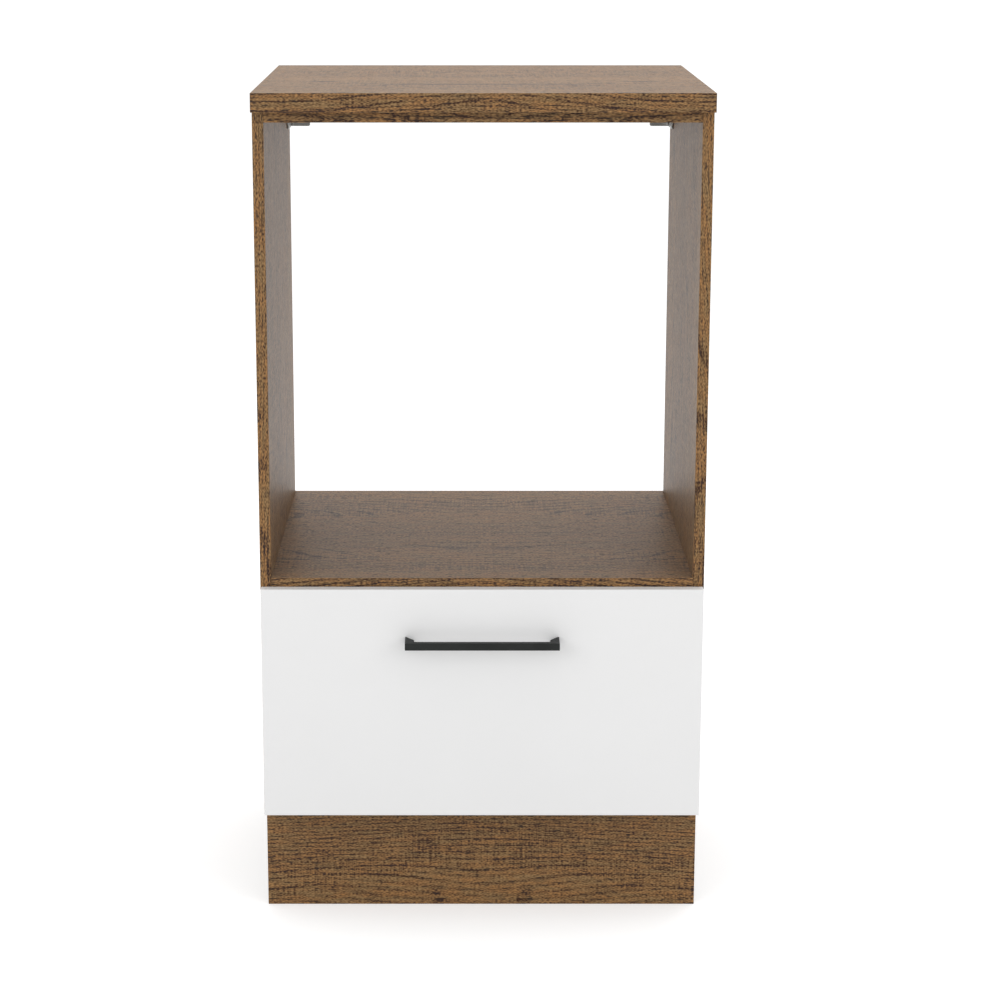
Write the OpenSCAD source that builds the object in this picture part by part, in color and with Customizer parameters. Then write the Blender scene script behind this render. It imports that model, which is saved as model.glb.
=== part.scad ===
// Oven base cabinet: a flat-pack carcass with an open niche for a built-in oven
// above one deep drawer, on adjustable legs with a clip-on plinth board.
// Millimetres. +Z is up, X runs across the width, the front faces -Y and the floor is z = 0.

/* [Cabinet] */
// Overall width of carcass, worktop and plinth
cabinet_w = 600; // [500:1:900]
// Least depth of the side panels; longer runners make them deeper
carcass_d = 500; // [490:1:620]
// Thickness of the carcass boards
panel_t = 15; // [15:0.5:19]
// Clear height of the oven niche
niche_h = 612.5; // [400:0.5:800]
// Clear height of the drawer bay below the oven shelf
drawer_bay_h = 308.5; // [280:0.5:420]
// Front-to-back size of the two flat rails under the worktop
rail_d = 100; // [90:1:150]
// Thickness of the hardboard back behind the drawer bay
back_t = 3; // [2.5:0.1:4]
// Distance from the rear edge of the carcass to the back's groove
back_inset = 12; // [8:1:20]

/* [Worktop] */
// Thickness of the worktop
worktop_t = 25; // [22:1:40]
// How far the worktop stands out in front of the carcass
worktop_overhang = 25; // [0:1:50]

/* [Base] */
// Height of the carcass above the floor
base_h = 150; // [120:1:200]
// How far the plinth board lies behind the front of the carcass
plinth_setback = 40; // [20:1:80]
// Thickness of the plinth board
plinth_t = 15; // [12:0.5:19]
// Gap between the plinth board and the underside of the carcass
plinth_gap = 1.5; // [0.5:0.5:5]

/* [Legs] */
// Distance from the plinth board's back to the axis of the front legs
leg_behind_plinth = 45; // [42:1:80]
// Distance from the rear of the carcass to the axis of the rear legs
leg_rear_inset = 100; // [100:1:150]
// Distance from the outer side of the carcass to a leg's axis
leg_side_inset = 64; // [62:1:90]
// Diameter of a leg's post
leg_d = 34; // [30:1:38]
// How far the socket's flange stands out around the post
leg_flange_rim = 18; // [16:1:20]
// Thickness of the socket's flange
leg_flange_t = 5; // [4:0.5:8]
// Wall of the socket's hub around the post's spigot
hub_wall = 4.8; // [3:0.1:6]
// Height of the socket's hub, flange included
hub_h = 30; // [26:1:36]
// Shoulder of the post around its spigot
post_shoulder = 3; // [2:0.5:4]
// Length of the post's spigot inside the hub
spigot_h = 25; // [15:1:25]
// Diameter of the foot's spindle inside the post
spindle_d = 20; // [14:1:20]
// Length of the foot's spindle, foot included
spindle_h = 55; // [35:1:60]
// Diameter of the foot
foot_d = 58; // [50:1:65]
// Height of the foot's rim
foot_h = 8; // [6:1:12]
// Bevel around the top of the foot
foot_edge = 3; // [1:0.5:4]
// Number of grip notches around the foot
foot_notches = 10; // [6:1:14]
// Diameter of the cutter that makes a notch
foot_notch_d = 7; // [4:0.5:8]
// How far a notch cuts into the foot
foot_notch_in = 1.75; // [1:0.25:2.5]
// Height of the notches' lower ends above the floor
foot_notch_up = 2; // [1:0.5:3]
// Visible thread between the foot and the post
post_gap = 12; // [2:1:20]

/* [Plinth clips] */
// Height of a clip's ring above the floor
clip_z = 70; // [60:1:72]
// Height of a clip's ring and arm
clip_ring_h = 14; // [10:1:20]
// Wall of a clip's ring
clip_ring_t = 3; // [2:0.5:4]
// Width of a clip's arm
clip_arm_w = 20; // [12:1:30]
// Opening through which the ring snaps on the post
clip_mouth = 22; // [16:1:26]
// Width of a clip's plate
clip_plate_w = 40; // [30:1:60]
// Height of a clip's plate
clip_plate_h = 44; // [42:1:60]
// Thickness of a clip's plate
clip_plate_t = 3; // [2:0.5:5]
// Distance between the two screws of a clip
clip_screw_pitch = 30; // [28:1:32]

/* [Drawer front] */
// Thickness of the drawer front
front_t = 15; // [15:0.5:19]
// Reveal at each side of the drawer front
front_side_reveal = 1.5; // [1:0.5:4]
// Height of the drawer front's lower edge above the carcass's lower edge
front_bottom_reveal = 4.5; // [0:0.5:8]
// How far the drawer front laps over the oven shelf's edge
front_overlay = 3.5; // [1:0.5:10]
// Gap between the closed drawer front and the carcass
front_gap = 1.5; // [1:0.1:3]

/* [Handle] */
// Length of the handle over its ends
handle_len = 208; // [120:1:400]
// Distance from a handle's end to its screw
handle_hole_inset = 8; // [6:0.5:8]
// Height of a handle screw above the bar's lower edge
handle_hole_up = 3.7; // [3:0.1:4]
// Height of the handle's bar
handle_h = 10; // [9:0.5:14]
// Front-to-back thickness of the handle's bar
handle_bar_d = 8; // [6:0.5:12]
// Room for the fingers behind the bar
handle_finger = 24; // [20:1:40]
// Width of a handle leg
handle_leg_w = 12; // [11:0.5:16]
// Drop of the chamfer on a leg's upper inner corner
handle_chamfer = 5; // [2:0.5:5]
// Flat that the chamfer leaves on top of a leg
handle_flat = 1; // [0.5:0.5:6]
// Distance from the drawer front's top edge down to the top of the bar
handle_drop = 66; // [30:1:90]

/* [Drawer box] */
// Height of the drawer's sides
drawer_side_h = 200; // [120:1:240]
// Thickness of the drawer's sides and back
drawer_t = 15; // [15:0.5:18]
// Gap between the bottom panel and the drawer box
drawer_floor_gap = 12; // [8:1:20]
// Thickness of the drawer's hardboard bottom
drawer_bottom_t = 3; // [2.5:0.1:4]
// Height of the hardboard bottom above the drawer's lower edge
drawer_bottom_up = 10; // [8:1:14]
// Height of the lower cam lock above the drawer's lower edge
drawer_cam_low = 25; // [24:1:30]
// Distance from the drawer sides' top edge down to the upper cam lock
drawer_cam_high = 30; // [15:1:40]
// Distance of the back's screws from the lower and upper edges of the drawer's sides
back_screw_in = 30; // [24:1:34]
// Distance from a drawer side to the outer screws of the hardboard bottom
bottom_screw_in = 40; // [20:1:80]
// Distance from the drawer front's edges to its bumpers
bumper_inset = 16; // [8:1:40]
// Diameter of a bumper
bumper_d = 8; // [6:0.5:10]

/* [Runners] */
// Nominal length of the ball runners, and of the drawer's sides
runner_len = 450; // [350:10:550]
// Side gap between carcass and drawer that a runner fills
runner_gap = 12.7; // [12.7:0.1:14]
// Height of a runner's outer member
runner_h = 45; // [43:0.5:48]
// Sheet thickness of a runner's outer and inner members
runner_plate = 1.2; // [1:0.1:1.4]
// Sheet thickness of a runner's middle member
runner_middle_plate = 1; // [0.8:0.1:1.2]
// Diameter of the balls
ball_d = 3.5; // [3:0.1:3.8]
// Height of a runner's centre above the drawer's lower edge
runner_up = 60; // [55:1:72]
// How far a runner stays behind the front of the carcass
runner_setback = 2; // [1:0.5:10]
// Least room between a runner's rear end and the hardboard back
runner_rear_room = 10; // [5:1:20]
// Distance from a runner's ends to its outer screws
runner_screw_edge = 35; // [25:1:60]
// Sheet thickness of the ball cages
cage_t = 0.6; // [0.4:0.1:0.8]
// Distance between two balls of a row
ball_pitch = 18; // [10:1:30]
// Lip on the free edge of the outer member
outer_lip = 1; // [0.5:0.1:1.5]
// Height of the stop at the runner's rear end
stop_h = 12; // [8:1:20]

/* [Joinery] */
// Diameter of a cam lock's hole
cam_hole_d = 15; // [15:0.5:16]
// Distance from a board's end to the centre of its cam locks
cam_reach = 34; // [24:1:34]
// Distance from a deep board's front or rear edge to its first cam lock
cam_edge = 50; // [40:1:56]
// Bore in a board's end that passes a cam bolt
bolt_bore_d = 8; // [7.5:0.5:9]
// Thread diameter of a cam bolt
bolt_thread_d = 5; // [4.5:0.5:6]
// Diameter of a cam bolt's shaft
bolt_shaft_d = 7; // [6:0.5:7.5]
// Diameter of a cam bolt's neck
bolt_neck_d = 4; // [3:0.5:4.5]
// Diameter of a cam bolt's head
bolt_head_d = 6.4; // [5.6:0.2:6.8]
// Length of a cam bolt's head
bolt_head_len = 3.5; // [2:0.5:4]
// Diameter of a wooden dowel
dowel_d = 8; // [6:1:8]
// Length of a wooden dowel
dowel_len = 30; // [25:1:35]
// Bevel at the ends of a dowel
dowel_bevel = 1; // [0.5:0.5:2]
// Distance between a dowel and its cam lock
dowel_pitch = 32; // [25:1:32]
// Depth of the blind holes in a board's face
face_bore = 11; // [9:0.5:12]
// Depth of the grooves that hold the hardboard
groove_depth = 6; // [4:0.5:7]

/* [Screws] */
// Shank of the screws between rails and worktop
worktop_screw_d = 4; // [3:0.5:5]
// How far these screws reach into the worktop
worktop_screw_grip = 14; // [10:1:18]
// Distance from a side panel to these screws
worktop_screw_in = 95; // [60:1:150]
// Shank of the screws in the leg sockets
leg_screw_d = 4; // [3:0.5:4.5]
// Length of the screws in the leg sockets
leg_screw_len = 13; // [10:1:16]
// Shank of the screws in the plinth clips
clip_screw_d = 3.5; // [3:0.5:4]
// Length of the screws in the plinth clips
clip_screw_len = 12; // [8:1:14]
// Shank of the screws in the runners
runner_screw_d = 4; // [3:0.5:4.5]
// Length of the screws in the runners
runner_screw_len = 13; // [8:1:14]
// Shank of the screws in the wall brackets
bracket_screw_d = 4; // [3:0.5:5]
// Length of the screws in the wall brackets
bracket_screw_len = 15; // [10:1:16]
// Thread diameter of the screws through the drawer sides into the back
back_screw_d = 5; // [4:0.5:6]
// Length of these screws
back_screw_len = 48; // [35:1:60]
// Head diameter of these screws
back_screw_head_d = 10; // [9:0.5:11]
// Height of their conical head
back_screw_head_h = 3; // [2:0.5:4]
// Diameter of the plain collar under the head
back_screw_collar_d = 7; // [7:0.5:8]
// Width of the hexagonal socket over its corners
back_screw_hex = 4; // [3:0.5:5]
// Depth of the hexagonal socket
back_screw_hex_deep = 2.5; // [2:0.5:4]
// Shank of the screws that hold the hardboard bottom
bottom_screw_d = 3; // [2.5:0.5:4]
// Length of these screws
bottom_screw_len = 14; // [10:1:20]
// Thread diameter of the handle's screws
handle_screw_d = 3.3; // [3:0.1:4]
// How far the handle's screws reach into its legs
handle_screw_grip = 9; // [6:1:12]

/* [Wall brackets] */
// Height of a wall bracket
bracket_h = 46; // [36:1:60]
// How far a bracket's leg reaches forward along the side panel
bracket_side_leg = 62; // [50:1:90]
// How far a bracket's wall leg reaches inwards from the side panel
bracket_wall_leg = 30.7; // [26:0.1:50]
// Sheet thickness of a bracket
bracket_t = 3; // [2:0.5:4]
// Diameter of the hole for the wall screw
wall_hole_d = 7; // [5:0.5:9]
// Gap between a bracket and the rail above it
bracket_drop = 4; // [1:1:20]
// Inner radius of a bracket's bend
bracket_bend_r = 2.5; // [1:0.5:4]
// Radius of the corners at the wall leg's free end
bracket_wall_r = 2.5; // [1:0.5:8]
// Radius of the corners at the side leg's free end
bracket_side_r = 10; // [2:1:14]
// Distance from the carcass's rear edge to a bracket's rear screw
bracket_screw_rear = 22; // [14:1:24]
// Distance from the side leg's free end to a bracket's front screw
bracket_screw_front = 12; // [8:1:14]

/* [Hidden] */
$fn = 48;
// Overlap that keeps a cut clear of the face that it opens
eps = 0.5;

// Screw heads, as multiples of the thread's diameter and of the head's own size
pan_head_wide = 2.1;
pan_head_high = 0.6;
pan_head_top = 0.75;
recess_wide = 0.5;
recess_arm = 0.25;
recess_deep = 0.6;

// Clearances: the room left around or behind a part
groove_clear = 0.4;
groove_end_clear = 0.5;
cam_clear = 0.1;
cam_cavity_clear = 0.4;
cam_cavity_end = 1;
bolt_end_clear = 0.5;
dowel_end_clear = 0.5;
handle_screw_clear = 0.6;
handle_thread_spare = 3;
ball_clear = 0.2;
pocket_clear = 0.2;
cage_clear = 0.5;
cage_end_gap = 2.5;
stop_gap = 0.5;
bumper_clear = 0.2;
post_clear = 0.2;
clip_clear = 0.3;

// Runner sections: how far edges fall short of the gap or the length, or pass the balls
mid_flange_short = 2.1;
outer_flange_short = 2.9;
inner_short = 4;
cage_past_ball = 2.5;

// Carcass
groove_w = back_t + groove_clear;
body_d = max(carcass_d, runner_setback + runner_len + runner_rear_room + groove_w + back_inset);
inner_w = cabinet_w - 2 * panel_t;
side_h = drawer_bay_h + niche_h + 3 * panel_t;
side_x = inner_w / 2;
reach = front_gap + front_t + handle_finger + handle_bar_d;
front_reach = max(reach, worktop_overhang);
front_y = -(body_d - front_reach) / 2;
back_y = front_y + body_d;
bay_z = base_h + panel_t;
shelf_z = bay_z + drawer_bay_h;
niche_z = shelf_z + panel_t;
rail_z = niche_z + niche_h;
worktop_z = rail_z + panel_t;
groove_y = back_y - back_inset - groove_w;

// Cam locks and dowels: each row is a board's middle height, its cams and its dowels
cam_past_middle = 5;
cam_recess_deep = 2;
cam_hole_h = panel_t / 2 + cam_past_middle;
dowel_board = dowel_len - face_bore + 2 * dowel_end_clear;
dowel_end_d = dowel_d - 2 * dowel_bevel;
deep_cams = [front_y + cam_edge, back_y - cam_edge];
deep_dowels = [front_y + cam_edge + dowel_pitch, back_y - cam_edge - dowel_pitch];
rail_mids = [front_y + rail_d / 2, back_y - rail_d / 2];
rail_dowels = [for (y = rail_mids) for (s = [-1, 1]) y + s * dowel_pitch];
BOARD_ENDS = [
    [base_h + panel_t / 2, deep_cams, deep_dowels],
    [shelf_z + panel_t / 2, deep_cams, deep_dowels],
    [rail_z + panel_t / 2, rail_mids, rail_dowels]
];
bolt_head_past = 2;
cam_cavity_d = bolt_head_d + 2 * cam_cavity_clear;
cam_cavity_past = bolt_head_past + cam_cavity_end;

// Worktop screws
worktop_screw_x = side_x - worktop_screw_in;

// Legs
leg_front_y = front_y + plinth_setback + plinth_t + leg_behind_plinth;
leg_rear_y = back_y - leg_rear_inset;
leg_x = cabinet_w / 2 - leg_side_inset;
LEGS = [for (x = [-leg_x, leg_x]) for (y = [leg_front_y, leg_rear_y]) [x, y]];
spigot_d = leg_d - 2 * post_shoulder;
hub_d = spigot_d + 2 * post_clear + 2 * hub_wall;
flange_d = leg_d + 2 * leg_flange_rim;
flange_pcd = (hub_d + flange_d) / 2;

// Drawer front
front_w = cabinet_w - 2 * front_side_reveal;
front_z = base_h + front_bottom_reveal;
front_top = shelf_z + front_overlay;
front_h = front_top - front_z;
front_back_y = front_y - front_gap;

// Handle
handle_top = front_top - handle_drop;
handle_z = handle_top - handle_h;
handle_back_y = front_back_y - front_t;
handle_depth = handle_finger + handle_bar_d;
handle_hole_x = handle_len / 2 - handle_hole_inset;
handle_hole_deep = handle_screw_grip + handle_thread_spare;

// Drawer box
drawer_w = inner_w - 2 * runner_gap;
drawer_x = drawer_w / 2;
drawer_in_x = drawer_x - drawer_t;
box_z = bay_z + drawer_floor_gap;
drawer_back_y = front_back_y + runner_len;
bottom_z = box_z + drawer_bottom_up;
drawer_groove_h = drawer_bottom_t + groove_clear;
box_back_z = bottom_z + drawer_groove_h;
drawer_mid_x = drawer_x - drawer_t / 2;
drawer_cam_h = drawer_t / 2 + cam_past_middle;
drawer_cam_zs = [box_z + drawer_cam_low, box_z + drawer_side_h - drawer_cam_high];
drawer_dowel_zs = [drawer_cam_zs[1] - dowel_pitch];
back_screw_zs = [box_z + back_screw_in, box_z + drawer_side_h - back_screw_in];
back_screw_y = drawer_back_y - drawer_t / 2;
bottom_screw_xs = [bottom_screw_in - drawer_in_x, 0, drawer_in_x - bottom_screw_in];

// Runners: u is the distance from the carcass side inwards
runner_z = box_z + runner_up;
runner_y = front_y + runner_setback;
race = ball_d + 2 * ball_clear;
outer_in_z = runner_h / 2 - runner_plate;
mid_out_z = outer_in_z - race;
mid_in_z = mid_out_z - runner_middle_plate;
inner_out_z = mid_in_z - race;
outer_cage_u = runner_plate + cage_clear;
mid_u = outer_cage_u + cage_t + cage_clear;
inner_cage_u = mid_u + runner_middle_plate + cage_clear;
inner_flange_u = inner_cage_u + cage_t + cage_clear;
inner_web_u = runner_gap - runner_plate;
mid_flange_end = runner_gap - mid_flange_short;
outer_flange_end = runner_gap - outer_flange_short;
outer_ball_u = (mid_u + outer_flange_end - runner_plate) / 2;
inner_ball_u = (inner_flange_u + mid_flange_end) / 2;
mid_len = runner_len - runner_plate - 2 * stop_gap;
inner_len = runner_len - inner_short;
cage_len = runner_len / 2 - 2 * cage_end_gap;
cage_y = runner_y + runner_len / 4 + cage_end_gap;
ball_count = floor((cage_len - ball_pitch) / ball_pitch) + 1;
ball_first = cage_y + (cage_len - (ball_count - 1) * ball_pitch) / 2;
runner_screw_head_d = runner_screw_d + 2 * runner_plate;
runner_screw_ys = [
    runner_y + runner_screw_edge,
    runner_y + runner_len / 2,
    runner_y + runner_len - runner_screw_edge
];

// Wall brackets
bracket_z = rail_z - bracket_drop - bracket_h;
bracket_bend_out = bracket_bend_r + bracket_t;
wall_hole_x = side_x - bracket_t - (bracket_wall_leg - bracket_t) / 2;
bracket_mid_z = bracket_z + bracket_h / 2;
bracket_screw_ys = [
    back_y - bracket_screw_rear,
    back_y - bracket_side_leg + bracket_screw_front
];

oak = "#75573c";
oak_light = "#a69384";
white = "#ebebea";
hardboard = "#d9d6cf";
black = "#2c2e2d";
zinc = "#a9aaa8";
grey = "#8a8c8c";
beech = "#caa877";

// Helpers

module both_sides() {
    children();
    mirror([1, 0, 0]) children();
}

module left() {
    mirror([1, 0, 0]) children();
}

// Turns what points along +Z to point along +X, -X, +Y or -Y
module to_right() {
    rotate([0, 90, 0]) children();
}

module to_left() {
    rotate([0, -90, 0]) children();
}

module to_back() {
    rotate([-90, 0, 0]) children();
}

module to_front() {
    rotate([90, 0, 0]) children();
}

// Measures u inwards from the right side panel at a runner's height
module from_right_side() {
    translate([side_x, 0, runner_z]) mirror([1, 0, 0]) children();
}

// A cross-shaped recess sunk from z = 0
module cross_recess(size, depth) {
    arm = size * recess_arm;
    for (a = [0, 90]) {
        rotate([0, 0, a]) translate([-size / 2, -arm / 2, -eps]) cube([size, arm, depth + eps]);
    }
}

// A screw with a raised head: its shank points along +Z, its head lies below z = 0
module pan_screw(d, len) {
    head_d = d * pan_head_wide;
    head_h = d * pan_head_high;
    cylinder(d = d, h = len);
    translate([0, 0, -head_h])
        difference() {
            cylinder(d1 = head_d * pan_head_top, d2 = head_d, h = head_h);
            cross_recess(head_d * recess_wide, head_h * recess_deep);
        }
}

// A screw with a countersunk head, flush with z = 0
module flat_screw(d, len, head_d) {
    head_h = (head_d - d) / 2;
    difference() {
        union() {
            cylinder(d = d, h = len);
            cylinder(d1 = head_d, d2 = d, h = head_h);
        }
        cross_recess(head_d * recess_wide, head_h * recess_deep);
    }
}

// The hole for a countersunk screw
module flat_screw_hole(d, len, head_d) {
    translate([0, 0, -eps]) cylinder(d = d, h = len + eps);
    cylinder(d1 = head_d, d2 = d, h = (head_d - d) / 2);
    translate([0, 0, -eps]) cylinder(d = head_d, h = eps);
}

// A cam lock stands on z = 0 with its bolt coming from +X
module cam_lock(board_t, hole_h) {
    difference() {
        cylinder(d = cam_hole_d - 2 * cam_clear, h = hole_h - 2 * cam_clear);
        translate([-cam_cavity_past, 0, board_t / 2])
            to_right() cylinder(d = cam_cavity_d, h = cam_cavity_past + cam_hole_d);
        cross_recess(cam_hole_d * recess_wide, cam_recess_deep);
    }
}

// A cam bolt's thread points along +X from the face that holds it
module cam_bolt() {
    bolt_in = cam_reach - cam_hole_d / 2;
    to_right() cylinder(d = bolt_thread_d, h = face_bore - bolt_end_clear);
    translate([-bolt_in, 0, 0])
        to_right() cylinder(d = bolt_shaft_d, h = bolt_in);
    translate([-cam_reach - bolt_head_past, 0, 0])
        to_right() cylinder(d = bolt_neck_d, h = cam_reach + bolt_head_past);
    translate([-cam_reach - bolt_head_past, 0, 0])
        to_right() cylinder(d = bolt_head_d, h = bolt_head_len);
}

// What a cam joint takes out of the board's end at x = 0, with the board towards -X
module cam_cut(board_t, hole_h) {
    translate([-cam_reach, 0, -eps]) cylinder(d = cam_hole_d, h = hole_h + eps);
    translate([-cam_reach, 0, board_t / 2])
        to_right() cylinder(d = bolt_bore_d, h = cam_reach + eps);
}

// A dowel lies along X across the face at x = 0
module dowel() {
    translate([face_bore - dowel_end_clear - dowel_len, 0, 0])
        to_right() {
            cylinder(d1 = dowel_end_d, d2 = dowel_d, h = dowel_bevel);
            translate([0, 0, dowel_bevel]) cylinder(d = dowel_d, h = dowel_len - 2 * dowel_bevel);
            translate([0, 0, dowel_len - dowel_bevel])
                cylinder(d1 = dowel_d, d2 = dowel_end_d, h = dowel_bevel);
        }
}

module dowel_cut(deep) {
    translate([-deep, 0, 0]) to_right() cylinder(d = dowel_d, h = deep + eps);
}

// Carcass

// A board across the carcass, with cam locks in its underside; children are cut out too
module cross_board(y, z, d, cams, pins) {
    difference() {
        translate([-side_x, y, z]) cube([inner_w, d, panel_t]);
        both_sides() {
            for (cy = cams) {
                translate([side_x, cy, z]) cam_cut(panel_t, cam_hole_h);
            }
            for (py = pins) {
                translate([side_x, py, z + panel_t / 2]) dowel_cut(dowel_board);
            }
        }
        children();
    }
}

module side_panel() {
    color(oak)
        difference() {
            translate([side_x, front_y, base_h]) cube([panel_t, body_d, side_h]);
            for (row = BOARD_ENDS) {
                for (y = row[1]) {
                    translate([side_x - eps, y, row[0]])
                        to_right() cylinder(d = bolt_thread_d, h = face_bore + eps);
                }
                for (y = row[2]) {
                    translate([side_x - eps, y, row[0]])
                        to_right() cylinder(d = dowel_d, h = face_bore + eps);
                }
            }
            translate([side_x - eps, groove_y, base_h - eps])
                cube([groove_depth + eps, groove_w, shelf_z + groove_depth - base_h + eps]);
            for (y = runner_screw_ys) {
                translate([side_x - runner_plate, y, runner_z])
                    to_right() cylinder(d = runner_screw_d, h = runner_screw_len);
            }
            for (y = bracket_screw_ys) {
                translate([side_x - bracket_t, y, bracket_mid_z])
                    to_right() cylinder(d = bracket_screw_d, h = bracket_screw_len);
            }
        }
}

module worktop() {
    color(oak_light)
        difference() {
            translate([-cabinet_w / 2, front_y - worktop_overhang, worktop_z])
                cube([cabinet_w, body_d + worktop_overhang, worktop_t]);
            both_sides() {
                for (y = rail_mids) {
                    translate([worktop_screw_x, y, worktop_z - eps])
                        cylinder(d = worktop_screw_d, h = worktop_screw_grip + eps);
                }
            }
        }
}

module top_rail(mid_y) {
    color(oak)
        cross_board(
            mid_y - rail_d / 2, rail_z, rail_d,
            [mid_y], [mid_y - dowel_pitch, mid_y + dowel_pitch]
        ) {
            both_sides()
                translate([worktop_screw_x, mid_y, rail_z - eps])
                    cylinder(d = worktop_screw_d, h = panel_t + 2 * eps);
        }
}

module oven_shelf() {
    color(oak)
        cross_board(front_y, shelf_z, body_d, deep_cams, deep_dowels) {
            translate([-cabinet_w / 2, groove_y, shelf_z - eps])
                cube([cabinet_w, groove_w, groove_depth + eps]);
        }
}

module bottom_panel() {
    color(oak)
        cross_board(front_y, base_h, body_d, deep_cams, deep_dowels) {
            translate([-cabinet_w / 2, groove_y, bay_z - groove_depth])
                cube([cabinet_w, groove_w, groove_depth + eps]);
            for (p = LEGS) {
                translate([p[0], p[1], base_h - eps]) leg_screw_ring(leg_screw_len - leg_flange_t + eps);
            }
        }
}

module back_panel() {
    lip = groove_depth - groove_end_clear;
    color(hardboard)
        translate([-side_x - lip, groove_y + groove_clear / 2, bay_z - lip])
            cube([inner_w + 2 * lip, back_t, drawer_bay_h + 2 * lip]);
}

module cam_locks() {
    color(grey)
        both_sides()
            for (row = BOARD_ENDS) {
                for (y = row[1]) {
                    translate([side_x - cam_reach, y, row[0] - panel_t / 2])
                        cam_lock(panel_t, cam_hole_h);
                }
            }
}

module cam_bolts() {
    color(zinc)
        both_sides()
            for (row = BOARD_ENDS) {
                for (y = row[1]) {
                    translate([side_x, y, row[0]]) cam_bolt();
                }
            }
}

module dowels() {
    color(beech)
        both_sides()
            for (row = BOARD_ENDS) {
                for (y = row[2]) {
                    translate([side_x, y, row[0]]) dowel();
                }
            }
}

module worktop_screws() {
    color(zinc)
        both_sides()
            for (y = rail_mids) {
                translate([worktop_screw_x, y, rail_z])
                    pan_screw(worktop_screw_d, panel_t + worktop_screw_grip);
            }
}

// Base

module plinth_board() {
    color(oak)
        difference() {
            translate([-cabinet_w / 2, front_y + plinth_setback, 0])
                cube([cabinet_w, plinth_t, base_h - plinth_gap]);
            clip_screw_places() cylinder(d = clip_screw_d, h = clip_screw_len - clip_plate_t);
        }
}

// Places children on the plinth board's back, pointing into the board
module clip_screw_places() {
    for (x = [-leg_x, leg_x]) {
        for (s = [-1, 1]) {
            translate([
                x,
                front_y + plinth_setback + plinth_t,
                clip_z + clip_ring_h / 2 + s * clip_screw_pitch / 2
            ])
                to_front() children();
        }
    }
}

// A clip's plate lies on the plinth board and its open ring snaps on a leg's post
module plinth_clip() {
    ring_r = leg_d / 2 + clip_clear;
    plate_y = -leg_behind_plinth;
    difference() {
        union() {
            cylinder(r = ring_r + clip_ring_t, h = clip_ring_h);
            translate([-clip_arm_w / 2, plate_y, 0])
                cube([clip_arm_w, leg_behind_plinth, clip_ring_h]);
            translate([-clip_plate_w / 2, plate_y, (clip_ring_h - clip_plate_h) / 2])
                cube([clip_plate_w, clip_plate_t, clip_plate_h]);
        }
        translate([0, 0, -eps]) cylinder(r = ring_r, h = clip_ring_h + 2 * eps);
        translate([-clip_mouth / 2, 0, -eps])
            cube([clip_mouth, ring_r + clip_ring_t + eps, clip_ring_h + 2 * eps]);
        for (s = [-1, 1]) {
            translate([0, plate_y - eps, clip_ring_h / 2 + s * clip_screw_pitch / 2])
                to_back() cylinder(d = clip_screw_d, h = clip_plate_t + 2 * eps);
        }
    }
}

module plinth_clips() {
    color(black)
        for (x = [-leg_x, leg_x]) {
            translate([x, leg_front_y, clip_z]) plinth_clip();
        }
}

module plinth_clip_screws() {
    color(zinc)
        clip_screw_places()
            translate([0, 0, -clip_plate_t])
                pan_screw(clip_screw_d, clip_screw_len);
}

module leg_screw_ring(h) {
    for (a = [45:90:315]) {
        rotate([0, 0, a]) translate([flange_pcd / 2, 0, 0]) cylinder(d = leg_screw_d, h = h);
    }
}

module leg_sockets() {
    color(black)
        for (p = LEGS) {
            translate([p[0], p[1], base_h - leg_flange_t])
                difference() {
                    union() {
                        cylinder(d = flange_d, h = leg_flange_t);
                        translate([0, 0, leg_flange_t - hub_h]) cylinder(d = hub_d, h = hub_h);
                    }
                    translate([0, 0, leg_flange_t - hub_h - eps])
                        cylinder(d = spigot_d + 2 * post_clear, h = spigot_h + post_clear + eps);
                    translate([0, 0, -eps]) leg_screw_ring(leg_flange_t + 2 * eps);
                }
        }
}

module leg_socket_screws() {
    color(zinc)
        for (p = LEGS) {
            for (a = [45:90:315]) {
                translate([p[0], p[1], base_h - leg_flange_t])
                    rotate([0, 0, a])
                        translate([flange_pcd / 2, 0, 0])
                            pan_screw(leg_screw_d, leg_screw_len);
            }
        }
}

module leg_posts() {
    post_z = foot_h + post_gap;
    post_top = base_h - hub_h;
    color(black)
        for (p = LEGS) {
            translate([p[0], p[1], 0])
                difference() {
                    union() {
                        translate([0, 0, post_z]) cylinder(d = leg_d, h = post_top - post_z);
                        translate([0, 0, post_top - eps]) cylinder(d = spigot_d, h = spigot_h + eps);
                    }
                    translate([0, 0, post_z - eps])
                        cylinder(d = spindle_d + 2 * post_clear, h = spindle_h);
                }
        }
}

module leg_feet() {
    color(black)
        for (p = LEGS) {
            translate([p[0], p[1], 0])
                difference() {
                    union() {
                        cylinder(d = foot_d, h = foot_h - foot_edge);
                        translate([0, 0, foot_h - foot_edge])
                            cylinder(d1 = foot_d, d2 = foot_d - 2 * foot_edge, h = foot_edge);
                        cylinder(d = spindle_d, h = spindle_h);
                    }
                    for (i = [0:foot_notches - 1]) {
                        rotate([0, 0, i * 360 / foot_notches])
                            translate([foot_d / 2 - foot_notch_in + foot_notch_d / 2, 0, foot_notch_up])
                                cylinder(d = foot_notch_d, h = foot_h);
                    }
                }
        }
}

// Wall brackets

// A flat strap of height bracket_h from x = 0, with both corners rounded at its free end
module bracket_strap(len, r) {
    linear_extrude(bracket_t) {
        square([len - r, bracket_h]);
        translate([0, r]) square([len, bracket_h - 2 * r]);
        for (y = [r, bracket_h - r]) {
            translate([len - r, y]) circle(r = r);
        }
    }
}

// What lies between a square corner at the origin and a round of radius r, towards +X and +Y
module bend_corner(r) {
    difference() {
        cube([r, r, bracket_h]);
        translate([r, r, -eps]) cylinder(r = r, h = bracket_h + 2 * eps);
    }
}

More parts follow.
